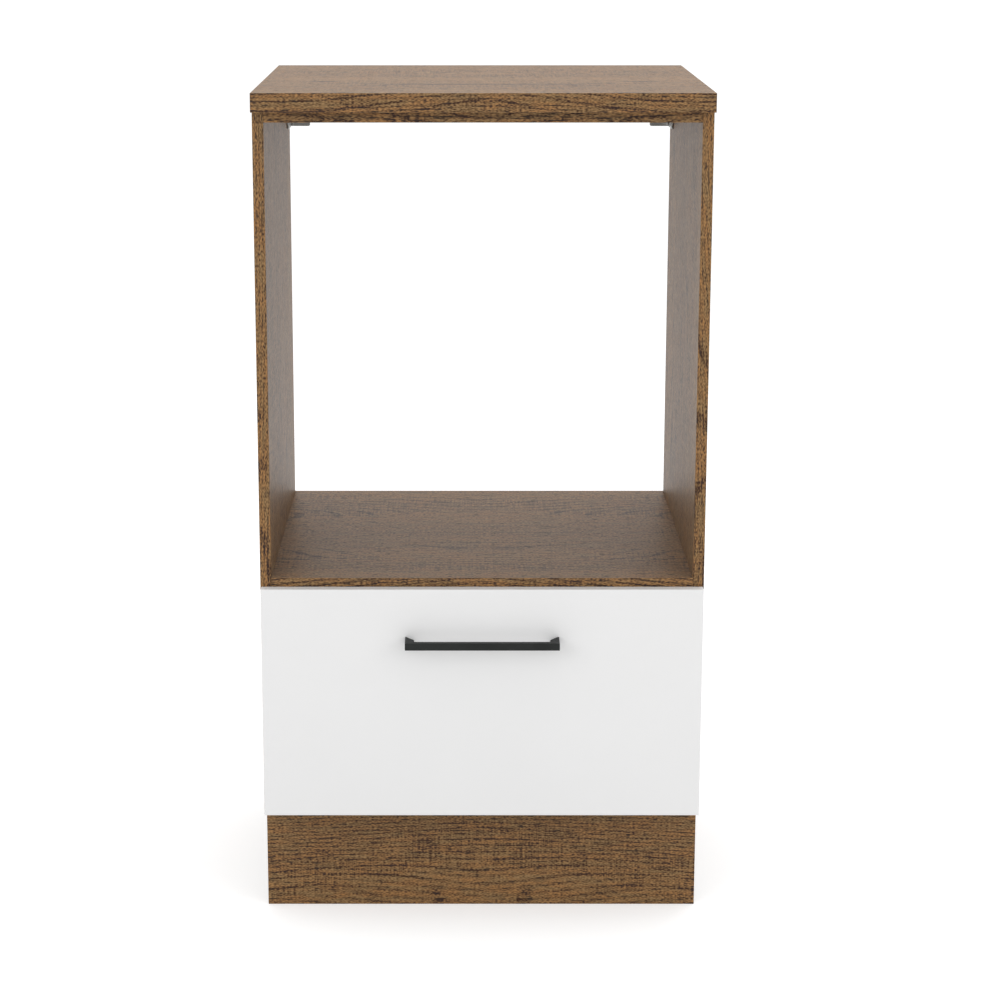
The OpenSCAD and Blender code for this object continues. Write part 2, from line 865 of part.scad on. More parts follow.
module wall_bracket() {
    color(zinc)
        difference() {
            union() {
                translate([side_x, back_y, bracket_z])
                    rotate([90, 0, -90]) bracket_strap(bracket_side_leg, bracket_side_r);
                translate([side_x, back_y - bracket_t, bracket_z])
                    rotate([90, 0, 180]) bracket_strap(bracket_wall_leg, bracket_wall_r);
                translate([side_x - bracket_t, back_y - bracket_t, bracket_z])
                    rotate([0, 0, 180]) bend_corner(bracket_bend_r);
            }
            translate([side_x, back_y, bracket_z - eps])
                rotate([0, 0, 180])
                    difference() {
                        translate([-eps, -eps, 0])
                            cube([bracket_bend_out + eps, bracket_bend_out + eps, bracket_h + 2 * eps]);
                        translate([bracket_bend_out, bracket_bend_out, -eps])
                            cylinder(r = bracket_bend_out, h = bracket_h + 4 * eps);
                    }
            translate([wall_hole_x, back_y - bracket_t - eps, bracket_mid_z])
                to_back() cylinder(d = wall_hole_d, h = bracket_t + 2 * eps);
            for (y = bracket_screw_ys) {
                translate([side_x - bracket_t - eps, y, bracket_mid_z])
                    to_right() cylinder(d = bracket_screw_d, h = bracket_t + 2 * eps);
            }
        }
}

module wall_bracket_screws() {
    color(zinc)
        both_sides()
            for (y = bracket_screw_ys) {
                translate([side_x - bracket_t, y, bracket_mid_z])
                    to_right() pan_screw(bracket_screw_d, bracket_screw_len);
            }
}

// Runners, drawn at the right side

module runner_outer() {
    color(zinc)
        from_right_side()
            difference() {
                union() {
                    translate([0, runner_y, -runner_h / 2])
                        cube([runner_plate, runner_len, runner_h]);
                    for (s = [-1, 1]) {
                        translate([0, runner_y, s * (runner_h - runner_plate) / 2 - runner_plate / 2])
                            cube([outer_flange_end, runner_len, runner_plate]);
                        translate([
                            outer_flange_end - runner_plate,
                            runner_y,
                            s * (outer_in_z - outer_lip / 2) - outer_lip / 2
                        ])
                            cube([runner_plate, runner_len, outer_lip]);
                    }
                    translate([0, runner_y + runner_len - runner_plate, -stop_h / 2])
                        cube([outer_flange_end, runner_plate, stop_h]);
                }
                for (y = runner_screw_ys) {
                    translate([runner_plate, y, 0])
                        to_left()
                            flat_screw_hole(runner_screw_d, runner_plate + eps, runner_screw_head_d);
                }
            }
}

module runner_middle() {
    color(zinc)
        from_right_side() {
            translate([mid_u, runner_y + stop_gap, -mid_out_z])
                cube([runner_middle_plate, mid_len, 2 * mid_out_z]);
            for (s = [-1, 1]) {
                translate([
                    mid_u,
                    runner_y + stop_gap,
                    s * (mid_out_z + mid_in_z) / 2 - runner_middle_plate / 2
                ])
                    cube([mid_flange_end - mid_u, mid_len, runner_middle_plate]);
            }
        }
}

module runner_inner() {
    color(zinc)
        from_right_side()
            difference() {
                union() {
                    translate([inner_web_u, runner_y, -inner_out_z])
                        cube([runner_plate, inner_len, 2 * inner_out_z]);
                    for (s = [-1, 1]) {
                        translate([
                            inner_flange_u,
                            runner_y,
                            s * (inner_out_z - runner_plate / 2) - runner_plate / 2
                        ])
                            cube([runner_gap - inner_flange_u, inner_len, runner_plate]);
                    }
                }
                for (y = runner_screw_ys) {
                    translate([inner_web_u, y, 0])
                        to_right()
                            flat_screw_hole(runner_screw_d, runner_plate + eps, runner_screw_head_d);
                }
            }
}

// Places children at each ball of a row pair
module ball_places(u, row_z) {
    for (i = [0:ball_count - 1]) {
        for (s = [-1, 1]) {
            translate([u, ball_first + i * ball_pitch, s * row_z]) children();
        }
    }
}

module ball_cage(u, ball_u, row_z) {
    color(grey)
        from_right_side()
            difference() {
                union() {
                    translate([u, cage_y, -row_z - cage_t / 2])
                        cube([cage_t, cage_len, 2 * row_z + cage_t]);
                    for (s = [-1, 1]) {
                        translate([u, cage_y, s * row_z - cage_t / 2])
                            cube([ball_u + cage_past_ball - u, cage_len, cage_t]);
                    }
                }
                ball_places(ball_u, row_z)
                    cylinder(d = ball_d + 2 * pocket_clear, h = cage_t + 2 * eps, center = true);
            }
}

module balls(ball_u, row_z) {
    color(zinc)
        from_right_side()
            ball_places(ball_u, row_z) sphere(d = ball_d);
}

module outer_cage() {
    ball_cage(outer_cage_u, outer_ball_u, outer_in_z - race / 2);
}

module inner_cage() {
    ball_cage(inner_cage_u, inner_ball_u, mid_in_z - race / 2);
}

module outer_balls() {
    balls(outer_ball_u, outer_in_z - race / 2);
}

module inner_balls() {
    balls(inner_ball_u, mid_in_z - race / 2);
}

module runner_cabinet_screws() {
    color(zinc)
        both_sides()
            for (y = runner_screw_ys) {
                translate([side_x - runner_plate, y, runner_z])
                    to_right()
                        flat_screw(runner_screw_d, runner_screw_len, runner_screw_head_d);
            }
}

module runner_drawer_screws() {
    color(zinc)
        both_sides()
            for (y = runner_screw_ys) {
                translate([side_x - inner_web_u, y, runner_z])
                    to_left()
                        flat_screw(runner_screw_d, runner_screw_len, runner_screw_head_d);
            }
}

// Drawer

// Turns a joint drawn along +X with its cam on z = 0 to join a drawer side to the front
module at_drawer_joint(z) {
    translate([drawer_in_x, front_back_y, z])
        rotate([0, 0, -90]) rotate([-90, 0, 0]) children();
}

module drawer_front() {
    color(white)
        difference() {
            translate([-front_w / 2, front_back_y - front_t, front_z])
                cube([front_w, front_t, front_h]);
            translate([-drawer_in_x - groove_depth, front_back_y - groove_depth, bottom_z])
                cube([2 * (drawer_in_x + groove_depth), groove_depth + eps, drawer_groove_h]);
            both_sides() {
                for (z = drawer_cam_zs) {
                    translate([drawer_mid_x, front_back_y + eps, z])
                        to_front() cylinder(d = bolt_thread_d, h = face_bore + eps);
                }
                for (z = drawer_dowel_zs) {
                    translate([drawer_mid_x, front_back_y + eps, z])
                        to_front() cylinder(d = dowel_d, h = face_bore + eps);
                }
                translate([handle_hole_x, front_back_y + eps, handle_z + handle_hole_up])
                    to_front() cylinder(d = handle_screw_d + 2 * handle_screw_clear, h = front_t + 2 * eps);
            }
        }
}

module drawer_side() {
    color(white)
        difference() {
            translate([drawer_in_x, front_back_y, box_z])
                cube([drawer_t, runner_len, drawer_side_h]);
            translate([drawer_in_x - eps, front_back_y - eps, bottom_z])
                cube([groove_depth + eps, runner_len + 2 * eps, drawer_groove_h]);
            for (z = drawer_cam_zs) {
                at_drawer_joint(z) cam_cut(drawer_t, drawer_cam_h);
            }
            for (z = drawer_dowel_zs) {
                at_drawer_joint(z) translate([0, 0, drawer_t / 2]) dowel_cut(dowel_board);
            }
            for (z = back_screw_zs) {
                translate([drawer_x, back_screw_y, z]) to_left() back_screw_cut();
            }
            for (y = runner_screw_ys) {
                translate([drawer_x + eps, y, runner_z])
                    to_left() cylinder(d = runner_screw_d, h = runner_screw_len - runner_plate + eps);
            }
        }
}

module drawer_back() {
    color(white)
        difference() {
            translate([-drawer_in_x, drawer_back_y - drawer_t, box_back_z])
                cube([2 * drawer_in_x, drawer_t, box_z + drawer_side_h - box_back_z]);
            both_sides()
                for (z = back_screw_zs) {
                    translate([drawer_x, back_screw_y, z]) to_left() back_screw_cut();
                }
            for (x = bottom_screw_xs) {
                translate([x, back_screw_y, bottom_z])
                    cylinder(d = bottom_screw_d, h = bottom_screw_len);
            }
        }
}

module drawer_bottom() {
    lip = groove_depth - groove_end_clear;
    color(hardboard)
        difference() {
            translate([-drawer_in_x - lip, front_back_y - lip, bottom_z + groove_clear / 2])
                cube([2 * (drawer_in_x + lip), runner_len + lip, drawer_bottom_t]);
            for (x = bottom_screw_xs) {
                translate([x, back_screw_y, bottom_z - eps])
                    cylinder(d = bottom_screw_d, h = drawer_groove_h + 2 * eps);
            }
        }
}

module back_screw_cut() {
    translate([0, 0, -eps]) cylinder(d = back_screw_head_d, h = eps);
    cylinder(d1 = back_screw_head_d, d2 = back_screw_collar_d, h = back_screw_head_h);
    cylinder(d = back_screw_collar_d, h = drawer_t);
    cylinder(d = back_screw_d, h = back_screw_len);
}

module drawer_back_screws() {
    color(zinc)
        both_sides()
            for (z = back_screw_zs) {
                translate([drawer_x, back_screw_y, z])
                    to_left()
                        difference() {
                            union() {
                                cylinder(
                                    d1 = back_screw_head_d,
                                    d2 = back_screw_collar_d,
                                    h = back_screw_head_h
                                );
                                cylinder(d = back_screw_collar_d, h = drawer_t);
                                cylinder(d = back_screw_d, h = back_screw_len);
                            }
                            translate([0, 0, -eps])
                                cylinder(d = back_screw_hex, h = back_screw_hex_deep + eps, $fn = 6);
                        }
            }
}

module drawer_bottom_screws() {
    color(zinc)
        for (x = bottom_screw_xs) {
            translate([x, back_screw_y, bottom_z + groove_clear / 2])
                pan_screw(bottom_screw_d, bottom_screw_len - groove_clear / 2);
        }
}

module drawer_cam_locks() {
    color(grey)
        both_sides()
            for (z = drawer_cam_zs) {
                at_drawer_joint(z)
                    translate([-cam_reach, 0, 0]) cam_lock(drawer_t, drawer_cam_h);
            }
}

module drawer_cam_bolts() {
    color(zinc)
        both_sides()
            for (z = drawer_cam_zs) {
                at_drawer_joint(z) translate([0, 0, drawer_t / 2]) cam_bolt();
            }
}

module drawer_dowels() {
    color(beech)
        both_sides()
            for (z = drawer_dowel_zs) {
                at_drawer_joint(z) translate([0, 0, drawer_t / 2]) dowel();
            }
}

module front_bumpers() {
    color(grey)
        both_sides()
            for (z = [front_z + bumper_inset, front_top - bumper_inset]) {
                translate([side_x + panel_t / 2 - front_side_reveal / 2, front_back_y, z])
                    to_back() cylinder(d = bumper_d, h = front_gap - bumper_clear);
            }
}

// Handle

// A leg's outline seen from the front, at the right end of the bar
module handle_leg_outline() {
    x_out = handle_len / 2;
    x_in = x_out - handle_leg_w;
    polygon([
        [x_in, handle_z],
        [x_out, handle_z],
        [x_out, handle_top],
        [x_out - handle_flat, handle_top],
        [x_in, handle_top - handle_chamfer]
    ]);
}

module handle() {
    color(black)
        difference() {
            union() {
                translate([-handle_len / 2, handle_back_y - handle_depth, handle_z])
                    cube([handle_len, handle_bar_d, handle_h]);
                both_sides()
                    translate([0, handle_back_y, 0])
                        to_front() linear_extrude(handle_depth - eps) handle_leg_outline();
            }
            both_sides()
                translate([handle_hole_x, handle_back_y + eps, handle_z + handle_hole_up])
                    to_front() cylinder(d = handle_screw_d, h = handle_hole_deep + eps);
        }
}

module handle_screws() {
    color(zinc)
        both_sides()
            translate([handle_hole_x, front_back_y, handle_z + handle_hole_up])
                to_front() pan_screw(handle_screw_d, front_t + handle_screw_grip);
}

worktop();
left() side_panel();  // side_left
side_panel();  // side_right
top_rail(rail_mids[0]);  // top_rail_front
top_rail(rail_mids[1]);  // top_rail_rear
oven_shelf();
bottom_panel();
back_panel();
plinth_board();
plinth_clips();
plinth_clip_screws();
leg_sockets();
leg_socket_screws();
leg_posts();
leg_feet();
cam_locks();
cam_bolts();
dowels();
worktop_screws();
left() wall_bracket();  // wall_bracket_left
wall_bracket();  // wall_bracket_right
wall_bracket_screws();
left() runner_outer();  // runner_outer_left
runner_outer();  // runner_outer_right
runner_cabinet_screws();
left() runner_middle();  // runner_middle_left
runner_middle();  // runner_middle_right
left() outer_cage();  // outer_cage_left
outer_cage();  // outer_cage_right
left() outer_balls();  // outer_balls_left
outer_balls();  // outer_balls_right
left() inner_cage();  // inner_cage_left
inner_cage();  // inner_cage_right
left() inner_balls();  // inner_balls_left
inner_balls();  // inner_balls_right
drawer_front();
left() drawer_side();  // drawer_side_left
drawer_side();  // drawer_side_right
drawer_back();
drawer_bottom();
left() runner_inner();  // runner_inner_left
runner_inner();  // runner_inner_right
runner_drawer_screws();
drawer_cam_locks();
drawer_cam_bolts();
drawer_dowels();
drawer_back_screws();
drawer_bottom_screws();
handle();
handle_screws();
front_bumpers();
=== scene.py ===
# %% [markdown]
# # Oven base cabinet: the looks
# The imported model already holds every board, runner, leg and screw in its true place. This notebook dresses
# it: it sets up the camera and the light, gives each piece the finish that the real one has, and adds the
# threads of the feet. All lengths are in metres.

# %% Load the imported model
import math

import bmesh
import bpy
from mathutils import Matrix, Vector


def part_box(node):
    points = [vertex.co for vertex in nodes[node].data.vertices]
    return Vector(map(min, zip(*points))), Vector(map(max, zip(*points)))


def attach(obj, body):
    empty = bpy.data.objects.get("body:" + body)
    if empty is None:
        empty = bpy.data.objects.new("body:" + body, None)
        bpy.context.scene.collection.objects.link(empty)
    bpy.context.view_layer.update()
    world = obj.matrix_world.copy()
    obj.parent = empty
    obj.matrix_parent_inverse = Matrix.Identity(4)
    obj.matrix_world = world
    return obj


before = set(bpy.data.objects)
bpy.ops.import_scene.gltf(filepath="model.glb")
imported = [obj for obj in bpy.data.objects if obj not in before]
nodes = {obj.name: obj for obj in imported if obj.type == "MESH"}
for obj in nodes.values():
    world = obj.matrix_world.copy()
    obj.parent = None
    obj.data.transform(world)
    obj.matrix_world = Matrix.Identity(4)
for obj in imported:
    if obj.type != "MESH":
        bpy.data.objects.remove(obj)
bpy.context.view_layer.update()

# %% [markdown]
# ## The camera
# The photograph was taken from standing eye level, three metres in front of the cabinet and a little left of
# its middle, so that the shelf and the worktop show their top faces. A long lens keeps the sides nearly
# parallel. The camera looks straight along the depth of the cabinet and is tilted down, which frames it from
# worktop to plinth.

# %% Camera
CAMERA_PLACE = (-0.031, -3.43545, 1.3916)
CAMERA_TILT = math.radians(12.855)
CAMERA_LENS = 88.7
CAMERA_SHIFT = (0.0408, -0.045)

camera_data = bpy.data.cameras.new("camera")
camera_data.lens = CAMERA_LENS
camera_data.shift_x, camera_data.shift_y = CAMERA_SHIFT
camera = bpy.data.objects.new("camera", camera_data)
camera.location = CAMERA_PLACE
camera.rotation_euler = (math.pi / 2 - CAMERA_TILT, 0, 0)
bpy.context.scene.collection.objects.link(camera)
bpy.context.scene.camera = camera
bpy.context.scene.view_settings.view_transform = "Standard"
print("camera tilted down by", round(math.degrees(CAMERA_TILT), 2), "degrees")

# %% [markdown]
# ## Placing nodes from code
# A material is a small network of nodes, and so is the look of the surroundings. In code each node takes
# several lines, so three helpers do it: one joins or sets an input, one places a node with its settings, and
# one does a step of arithmetic. The last hands back a socket, which the next node can take as its input.


# %% Node helpers
def feed(tree, socket, value):
    """Join a socket to another one, or set its plain value."""
    if isinstance(value, bpy.types.NodeSocket):
        tree.links.new(value, socket)
    else:
        socket.default_value = value


def place_node(tree, kind, inputs=(), **settings):
    """Add a node, set its options, and feed the inputs that are given by name or number."""
    made = tree.nodes.new(kind)
    for name, value in settings.items():
        setattr(made, name, value)
    for key, value in dict(inputs).items():
        feed(tree, made.inputs[key], value)
    return made


def maths(tree, operation, *values):
    """One step of arithmetic on numbers."""
    return place_node(tree, "ShaderNodeMath", enumerate(values), operation=operation).outputs[0]


print("helpers:", ", ".join(helper.__name__ for helper in (feed, place_node, maths)))

# %% [markdown]
# ## White surroundings
# A catalogue picture is taken in a white room, so that colours show as they are. The surroundings look pure
# white to the camera, in reflections and through clear pieces, while the light that they give is a little
# less. The Light Path node tells the two apart. Surroundings that give pure white light all round would be
# simpler, but they would wash out the cabinet.


# %% Surroundings
def seen_directly(tree):
    """1 for a ray that comes straight from the camera, a mirror or a clear piece, else 0."""
    rays = tree.nodes.new("ShaderNodeLightPath").outputs
    either = maths(tree, "MAXIMUM", rays["Is Camera Ray"], rays["Is Glossy Ray"])
    return maths(tree, "MAXIMUM", either, rays["Is Transmission Ray"])


ROOM_LIGHT = 0.88

world = bpy.data.worlds.new("white room")
bpy.context.scene.world = world
world.use_nodes = True
room = world.node_tree
room_shader = room.nodes["Background"]
room_shader.inputs["Color"].default_value = (1, 1, 1, 1)
room_strength = maths(room, "MULTIPLY_ADD", seen_directly(room), 1 - ROOM_LIGHT, ROOM_LIGHT)
feed(room, room_shader.inputs["Strength"], room_strength)
print("the room looks white, and lights the cabinet with a strength of", ROOM_LIGHT)

# %% [markdown]
# ## The floor
# The floor is plain and pale, and far larger than the view. It keeps the soft shadow of the cabinet. Where it
# is seen directly it also glows a little, so that it runs into the white surroundings without a line.


# %% Floor
def new_object(name, shape):
    """Turn a finished bmesh into an object that stands at the origin."""
    mesh = bpy.data.meshes.new(name)
    shape.to_mesh(mesh)
    shape.free()
    made = bpy.data.objects.new(name, mesh)
    bpy.context.scene.collection.objects.link(made)
    return made


def new_material(name):
    """A material with its network, its shader and the coordinates of the piece that wears it."""
    material = bpy.data.materials.new(name)
    material.use_nodes = True
    tree = material.node_tree
    place = tree.nodes.new("ShaderNodeTexCoord").outputs
    return material, tree, tree.nodes["Principled BSDF"], place


FLOOR_SIZE = 30.0
FLOOR_COLOUR = (0.76, 0.76, 0.76, 1)
FLOOR_ROUGHNESS = 0.9
FLOOR_GLOW = 0.42

floor_shape = bmesh.new()
bmesh.ops.create_grid(floor_shape, x_segments=1, y_segments=1, size=FLOOR_SIZE)
floor = new_object("floor", floor_shape)

floor_material, tree, shader, _ = new_material("pale floor")
shader.inputs["Base Color"].default_value = FLOOR_COLOUR
shader.inputs["Roughness"].default_value = FLOOR_ROUGHNESS
shader.inputs["Specular IOR Level"].default_value = 0.0
glow_strength = maths(tree, "MULTIPLY", seen_directly(tree), FLOOR_GLOW)
glow = place_node(tree, "ShaderNodeEmission", {"Strength": glow_strength})
both = place_node(tree, "ShaderNodeAddShader", {0: shader.outputs[0], 1: glow.outputs[0]})
tree.links.new(both.outputs[0], tree.nodes["Material Output"].inputs["Surface"])
floor.data.materials.append(floor_material)
print("the floor reaches", FLOOR_SIZE, "m each way")

# %% [markdown]
# ## Lamps
# Two broad lamps in front, the left one stronger, give the light a gentle direction, and one above brightens
# the worktop. A large lamp throws a soft shadow, as a studio's softbox does. Each one is turned to the middle
# of the cabinet.

# %% Lamps
CABINET_MIDDLE = Vector((0, 0, 0.6))
LAMPS = (
    ("lamp front left", (-2.6, -3.2, 2.1), 2.2, 27),
    ("lamp front right", (2.8, -2.8, 1.8), 2.2, 21),
    ("lamp above", (0.3, 0.9, 4.2), 2.6, 48),
)

for name, lamp_place, size, watts in LAMPS:
    lamp_data = bpy.data.lights.new(name, "AREA")
    lamp_data.shape, lamp_data.size, lamp_data.energy = "SQUARE", size, watts
    lamp = bpy.data.objects.new(name, lamp_data)
    lamp.location = lamp_place
    to_cabinet = CABINET_MIDDLE - Vector(lamp_place)
    lamp.rotation_euler = to_cabinet.to_track_quat("-Z", "Y").to_euler()
    bpy.context.scene.collection.objects.link(lamp)
    print(name, "is", size, "m wide, gives", watts, "W and hangs at", lamp_place)

# %% [markdown]
# ## Starting a node group
# An effect that many materials share is built once, as a node group: a network that shows named inputs for
# what differs from board to board, and named outputs for the colours and masks that it makes. The nodes could
# be copied into each material instead, but then each change would have to be made in every copy.


# %% Helpers for groups
def vectors(tree, operation, *values):
    """One step of arithmetic on vectors."""
    return place_node(tree, "ShaderNodeVectorMath", enumerate(values), operation=operation).outputs[0]


def axes_of(tree, vector):
    """The three numbers of a vector."""
    return place_node(tree, "ShaderNodeSeparateXYZ", {0: vector}).outputs


def mix_number(tree, share, first, second):
    """Mix two numbers by a mask: the first one where it is 0, the second one where it is 1."""
    return place_node(tree, "ShaderNodeMix", {0: share, 2: first, 3: second}).outputs[0]


def new_group(name, inputs, outputs):
    """Start a group from the names and kinds of its sockets. Returns its network, inputs and outputs."""
    tree = bpy.data.node_groups.new(name, "ShaderNodeTree")
    for label, kind in inputs:
        tree.interface.new_socket(label, in_out="INPUT", socket_type="NodeSocket" + kind)
    for label, kind in outputs:
        tree.interface.new_socket(label, in_out="OUTPUT", socket_type="NodeSocket" + kind)
    return tree, tree.nodes.new("NodeGroupInput").outputs, tree.nodes.new("NodeGroupOutput").inputs


print("helpers:", ", ".join(helper.__name__ for helper in (vectors, axes_of, mix_number, new_group)))

# %% [markdown]
# ## Printed oak: from a point in space to the print
# The boards are chipboard under a printed sheet that looks like dark, rough-sawn oak. The print runs along
# each board, so a point is first turned to "along, across, sheet". Faces that look in different directions
# get different sheet numbers, because an edge strip is cut from another roll than the sheet beside it.

# %% Turn a point to the direction of the print
# A face looks along an axis where its normal reaches this far in it, the cosine of 45 degrees
HALFWAY_TURNED = 0.707
X_FACE_SHEET, Z_FACE_SHEET = 1.7, 3.1

tree, given, result = new_group(
    "oak print",
    [("Place", "Vector"), ("Facing", "Vector"), ("Upright", "Float"), ("Sheet", "Float")],
    [("Colour", "Color"), ("Relief", "Float"), ("Pores", "Float")],
)
OAK_PRINT = tree
x, y, z = axes_of(tree, given["Place"])
facing_x, _, facing_z = axes_of(tree, vectors(tree, "ABSOLUTE", given["Facing"]))
faces_x = maths(tree, "GREATER_THAN", facing_x, HALFWAY_TURNED)
faces_z = maths(tree, "GREATER_THAN", facing_z, HALFWAY_TURNED)
x_face_sheet = maths(tree, "MULTIPLY", faces_x, X_FACE_SHEET)
z_face_sheet = maths(tree, "MULTIPLY", faces_z, Z_FACE_SHEET)
sheet = maths(tree, "ADD", given["Sheet"], maths(tree, "ADD", x_face_sheet, z_face_sheet))
level_across = mix_number(tree, faces_z, z, y)
upright_across = mix_number(tree, faces_x, x, y)
across = mix_number(tree, given["Upright"], level_across, upright_across)
print("the group", tree.name, "takes", ", ".join(socket.name for socket in given if socket.name))

# %% [markdown]
# ## Printed oak: the mirror line
# A printing roll repeats its picture mirrored, and on the photographed level boards the mirror line lies at
# their middle. So for the large forms "along" is measured both ways from there. The fold is rounded, or each
# band that crosses it would get a kink. Fibres, pores and threads aren't folded: they run on through the
# middle, so that no seam shows.

# %% Plain and mirrored places on the print
FOLD_ROUNDING = 0.03


def on_the_print(level_x):
    """A point's place along the print, across it and on its sheet, with this x on level boards."""
    level_along = mix_number(tree, faces_x, level_x, y)
    upright_along = mix_number(tree, faces_z, z, y)
    along = mix_number(tree, given["Upright"], level_along, upright_along)
    return place_node(tree, "ShaderNodeCombineXYZ", {0: along, 1: across, 2: sheet}).outputs[0]


folded_x = maths(tree, "SQRT", maths(tree, "MULTIPLY_ADD", x, x, FOLD_ROUNDING**2))
plain = on_the_print(x)
mirrored = on_the_print(folded_x)
print("the fold is rounded over", 2 * FOLD_ROUNDING, "m")

# %% [markdown]
# ## Printed oak: growth lines
# Growth lines are waves across the board, and slow noise bends them. Where that noise has a hill, the lines
# close around it in the long arcs of a flat-sawn board. Real wood could also be had by cutting through rings
# in three dimensions, but a print is flat, and waves are easier to steer. Noise gives numbers around a half,
# so a ramp stretches the part that counts.


# %% Growth lines
def noise(tree, place, stretch, detail=2.0, rough=0.5):
    """Cloudy noise whose spots are 1/stretch metres long in each direction, as a number from 0 to 1."""
    spread = vectors(tree, "MULTIPLY", place, stretch)
    inputs = {"Vector": spread, "Scale": 1.0, "Detail": detail, "Roughness": rough}
    return place_node(tree, "ShaderNodeTexNoise", inputs).outputs[0]


def ramp(tree, value, low, high, to_low=0.0, to_high=1.0):
    """Stretch the part of a mask between low and high over a new range, smoothly at both ends."""
    inputs = {"Value": value, "From Min": low, "From Max": high, "To Min": to_low, "To Max": to_high}
    return place_node(tree, "ShaderNodeMapRange", inputs, interpolation_type="SMOOTHSTEP").outputs[0]


fine_bend = noise(tree, mirrored, (7.0, 40.0, 1.0))


def wavy_lines(per_metre, hills, bend, waver):
    """Lines along the board, moved by so many lines by slow hills and by fine noise, from -1 to 1."""
    turns = maths(tree, "MULTIPLY", across, per_metre)
    turns = maths(tree, "MULTIPLY_ADD", noise(tree, mirrored, hills, detail=0.0), bend, turns)
    turns = maths(tree, "MULTIPLY_ADD", fine_bend, waver, turns)
    return maths(tree, "SINE", maths(tree, "MULTIPLY", turns, 2 * math.pi))


growth_waves = wavy_lines(per_metre=150.0, hills=(0.9, 4.0, 1.0), bend=26.0, waver=0.8)
growth = ramp(tree, growth_waves, -0.4, 1.0)
print("growth lines make", len(tree.nodes), "nodes so far")

# %% [markdown]
# ## Printed oak: dark arcs
# A second, coarser set of the same lines is kept only near its peaks: these are the dark arcs. In the real
# print they are broken here and there, stronger in some patches, and crossed by fibres. Three masks thin them
# out, and each leaves a share of the arc everywhere.

# %% Dark arcs
fibres = noise(tree, plain, (45.0, 420.0, 1.0), detail=1.0)
breaks = noise(tree, mirrored, (9.0, 160.0, 1.0), detail=1.0)
patches = noise(tree, mirrored, (3.0, 12.0, 1.0), detail=1.0)
arc_waves = wavy_lines(per_metre=62.0, hills=(1.3, 6.0, 1.0), bend=22.0, waver=0.4)
arcs = ramp(tree, arc_waves, 0.60, 1.0)
arcs = maths(tree, "MULTIPLY", arcs, ramp(tree, breaks, 0.28, 0.54, to_low=0.50))
arcs = maths(tree, "MULTIPLY", arcs, ramp(tree, patches, 0.38, 0.58, to_low=0.15))
arcs = maths(tree, "MULTIPLY", arcs, ramp(tree, fibres, 0.35, 0.60, to_low=0.35))
print("with the arcs it has", len(tree.nodes), "nodes")

# %% [markdown]
# ## Printed oak: pores
# Oak has short dark pores, and some long ones, which gather on the growth lines. They are the peaks of noise
# that is stretched along the board. The growth lines lower the height from which a peak counts, so more peaks
# reach it there.


# %% Pores
def dashes(stretch, least_peak, gathering):
    """Dark dashes at the peaks of stretched noise, more of them on the growth lines."""
    peaks = noise(tree, plain, stretch, detail=0.0)
    edge = maths(tree, "MULTIPLY_ADD", growth, -gathering, least_peak)
    return ramp(tree, maths(tree, "SUBTRACT", peaks, edge), 0.0, gathering)


short_pores = dashes(stretch=(80.0, 480.0, 1.0), least_peak=0.69, gathering=0.10)
long_pores = dashes(stretch=(16.0, 420.0, 1.0), least_peak=0.79, gathering=0.08)
pores = maths(tree, "MAXIMUM", short_pores, long_pores)
print("with the pores it has", len(tree.nodes), "nodes")

# %% [markdown]
# ## Printed oak: weave
# Over the wood lies a fine cross weave like linen, which gives the real sheet its rough-sawn look. It is made
# of two noises, one stretched along the board and one across. In some patches it is strong: there two threads
# that cross leave a dark knot, and the growth lines fade.


# %% Weave
def centred(mask):
    """The same mask around zero, so that it darkens as much as it lightens."""
    return maths(tree, "SUBTRACT", mask, 0.5)


threads_along = ramp(tree, noise(tree, plain, (20.0, 380.0, 1.0), detail=0.0), 0.30, 0.70)
threads_across = ramp(tree, noise(tree, plain, (380.0, 20.0, 1.0), detail=0.0), 0.30, 0.70)
cloth = maths(tree, "MULTIPLY", maths(tree, "ADD", threads_along, threads_across), 0.5)
weave_patch = ramp(tree, noise(tree, mirrored, (4.0, 12.0, 1.0), detail=1.0), 0.48, 0.64)
knots = maths(tree, "MULTIPLY", ramp(tree, cloth, 0.55, 0.95), weave_patch)
weave = maths(tree, "MULTIPLY", centred(cloth), ramp(tree, weave_patch, 0.0, 1.0, to_low=0.3))
growth_left = ramp(tree, weave_patch, 0.0, 1.0, to_low=1.0, to_high=0.3)
lines = maths(tree, "MULTIPLY", centred(growth), growth_left)
print("with the weave it has", len(tree.nodes), "nodes")

# %% [markdown]
# ## Printed oak: ink
# The masks are added up to one tone, each with a weight of its own, and three new ones join them: broad
# bands, clouds and speckle. The tone mixes a light and a dark ink. Each ink changes a little in tint from
# place to place: the light one between warm and olive, the dark one between mauve and warm. The pores stay
# out of the tone and are printed last, in the darkest ink.


# %% Ink
def mix_colour(tree, share, first, second):
    """Mix two colours by a mask."""
    mixed = place_node(tree, "ShaderNodeMix", {0: share, 6: first, 7: second}, data_type="RGBA")
    return mixed.outputs[2]


WARM_LIGHT, OLIVE_LIGHT = (0.362, 0.184, 0.064, 1), (0.300, 0.184, 0.080, 1)
MAUVE_DARK, WARM_DARK = (0.026, 0.012, 0.010, 1), (0.034, 0.010, 0.002, 1)
PORE_INK, PORE_COVER = (0.018, 0.011, 0.009, 1), 0.8
BASE_TONE = 0.265

